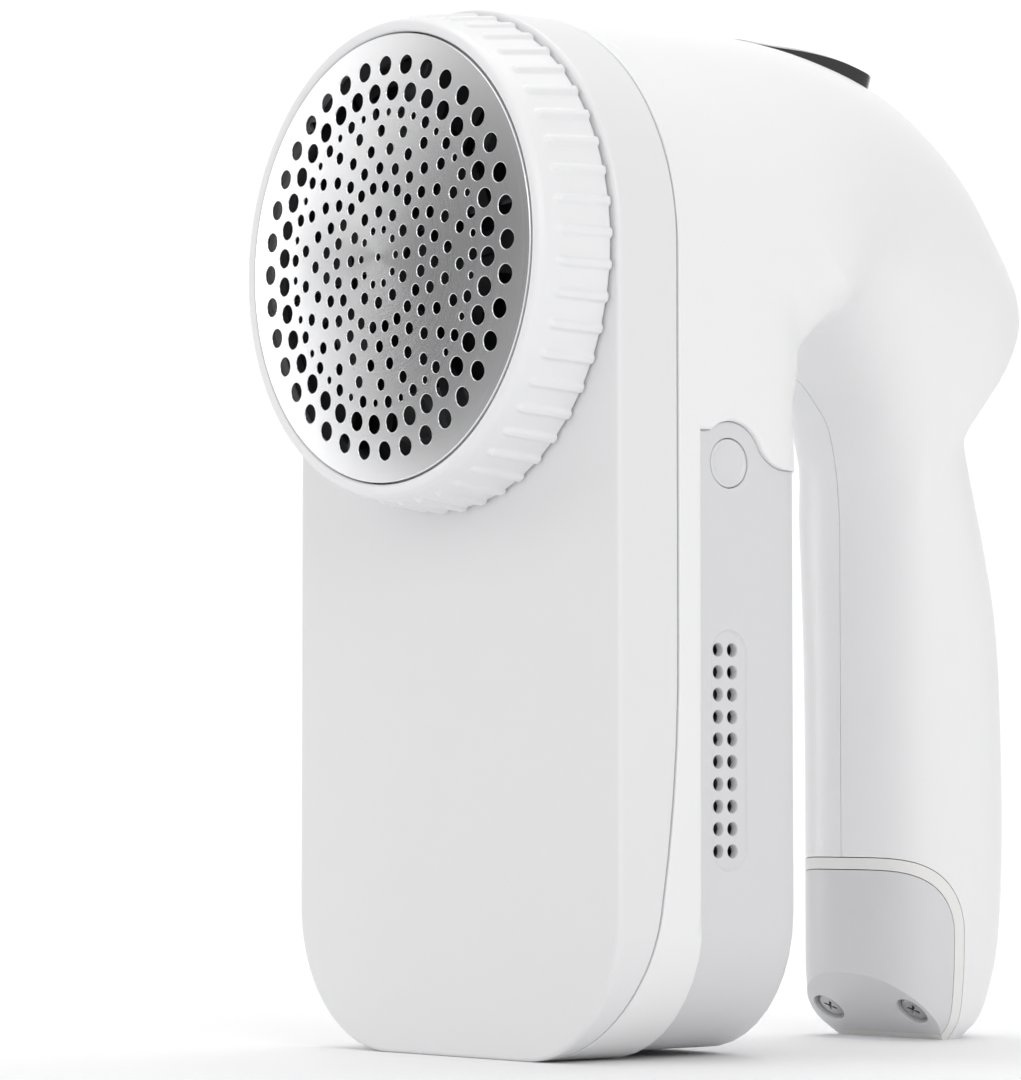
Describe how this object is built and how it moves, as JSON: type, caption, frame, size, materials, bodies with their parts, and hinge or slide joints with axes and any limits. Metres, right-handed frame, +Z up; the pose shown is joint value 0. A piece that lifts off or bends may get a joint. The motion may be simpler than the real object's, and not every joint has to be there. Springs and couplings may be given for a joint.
{
  "type": "fabric shaver",
  "caption": "Handheld fabric shaver: round perforated foil head in a knurled ring, pull-off lint bin with vented side panels, thumb slide and loop-shaped rear handle.",
  "frame": {"origin": "on the surface the shaver stands on, under the middle of its bounding box", "axes": "+Z up along the cutting head's face and the handle, -Y out of the foil, +X across the shaver to its own left side as seen from the foil"},
  "size_m": [0.0638, 0.1066, 0.1316],
  "materials": {
    "white_shell": "satin gloss",
    "white_front": "satin gloss",
    "ring_plastic": "fine matt",
    "seat_plastic": "matt",
    "foil_steel": "polished, turned",
    "cutter_plastic": "matt",
    "blade_steel": "ground",
    "drive_plastic": "matt",
    "shaft_steel": "ground",
    "chamber_plastic": "matt",
    "motor_steel": "plated",
    "motor_black": "matt",
    "motor_copper": "enamelled wire",
    "battery_wrap": "shrink film",
    "contact_metal": "plated",
    "board_green": "lacquered",
    "part_black": "matt",
    "track_plastic": "matt",
    "switch_black": "high gloss",
    "bin_plastic": "satin",
    "button_plastic": "satin",
    "cover_plastic": "satin",
    "seal_rubber": "matt",
    "screw_steel": "plated"
  },
  "bodies": {
    "housing": {"front_housing": "white_front", "rear_housing_left": "white_shell", "rear_housing_right": "white_shell", "ring_seat": "seat_plastic", "chamber_cup": "chamber_plastic", "motor_can": "motor_steel", "motor_cap": "motor_black", "motor_magnet": "motor_black", "battery_cell": "battery_wrap", "battery_contact_low": "contact_metal", "battery_contact_high": "contact_metal", "main_board": "board_green", "switch_body": "part_black", "charge_board": "board_green", "charge_socket": "contact_metal", "switch_track": "track_plastic", "end_cover": "cover_plastic", "end_seal": "seal_rubber", "end_screw_1": "screw_steel", "end_screw_2": "screw_steel"},
    "head_ring": {"foil_ring": "ring_plastic", "shaver_foil": "foil_steel"},
    "cutter": {"cutter_disc": "cutter_plastic", "cutter_blade_1": "blade_steel", "cutter_blade_2": "blade_steel", "cutter_blade_3": "blade_steel", "cutter_blade_4": "blade_steel", "cutter_blade_5": "blade_steel", "cutter_blade_6": "blade_steel", "cutter_hub": "drive_plastic", "cutter_spring": "shaft_steel", "lint_fan": "drive_plastic", "motor_shaft": "shaft_steel", "motor_rotor": "motor_copper"},
    "switch": {"thumb_switch": "switch_black"},
    "bin": {"lint_bin": "bin_plastic"},
    "button_left": {"release_button_left": "button_plastic"},
    "button_right": {"release_button_right": "button_plastic"}
  },
  "joints": [
    {"name": "ring_twist", "type": "hinge", "parent": "housing", "child": "head_ring", "pos_m": [0, -0.04147, 0.0987], "axis": [0, 1, 0], "range_deg": [0, 25]},
    {"name": "cutter_spin", "type": "hinge", "parent": "housing", "child": "cutter", "pos_m": [0, -0.04147, 0.0987], "axis": [0, -1, 0], "continuous": true},
    {"name": "switch_slide", "type": "hinge", "parent": "housing", "child": "switch", "pos_m": [0, -0.00327, 0.0395], "axis": [1, 0, 0], "range_deg": [0, 2.4]},
    {"name": "bin_pull", "type": "slide", "parent": "housing", "child": "bin", "axis": [0, 0, -1], "range_m": [0, 0.045]},
    {"name": "button_left_press", "type": "slide", "parent": "bin", "child": "button_left", "axis": [1, 0, 0], "range_m": [0, 0.001], "stiffness_N_per_m": 600},
    {"name": "button_right_press", "type": "slide", "parent": "bin", "child": "button_right", "axis": [-1, 0, 0], "range_m": [0, 0.001], "stiffness_N_per_m": 600}
  ]
}
